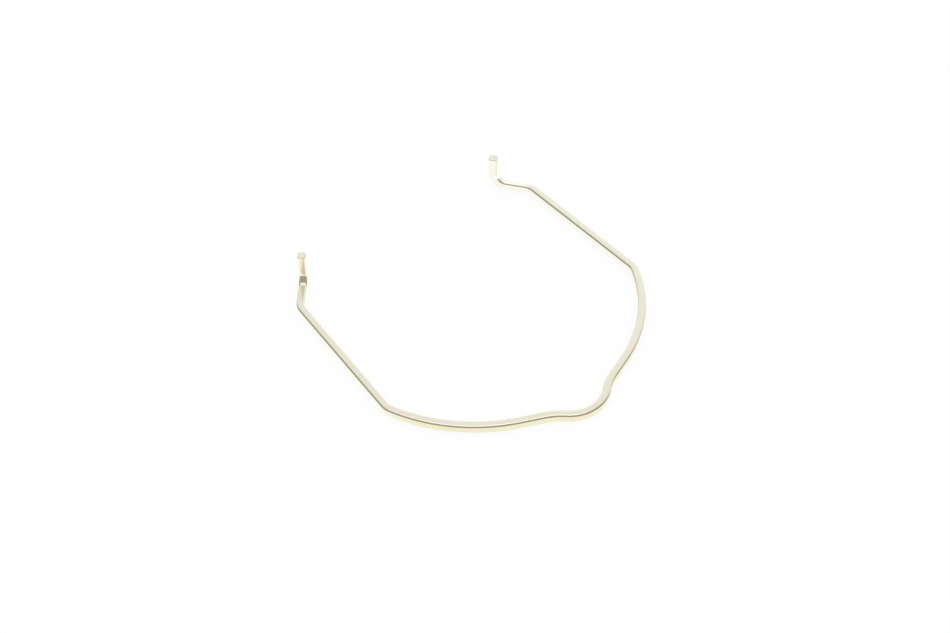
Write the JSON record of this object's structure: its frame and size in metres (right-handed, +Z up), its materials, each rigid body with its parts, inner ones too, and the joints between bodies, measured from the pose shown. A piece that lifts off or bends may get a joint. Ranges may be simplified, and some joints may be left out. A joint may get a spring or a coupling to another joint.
{
  "type": "spring clip",
  "caption": "Square-wire spring clip: an open ring with a release bump, two straight shoulders and upturned legs at its mouth.",
  "frame": {"origin": "centre of the ring's arcs, level with the clip's underside", "axes": "+Z up along the legs, +Y out through the mouth, -Y out through the release bump, X across the shoulders"},
  "size_m": [0.0776, 0.0782, 0.0096],
  "materials": {
    "spring_wire": "bright drawn square spring wire, smooth, with a faint straw tint"
  },
  "bodies": {
    "root": {"spring_clip": "spring_wire"}
  },
  "joints": []
}
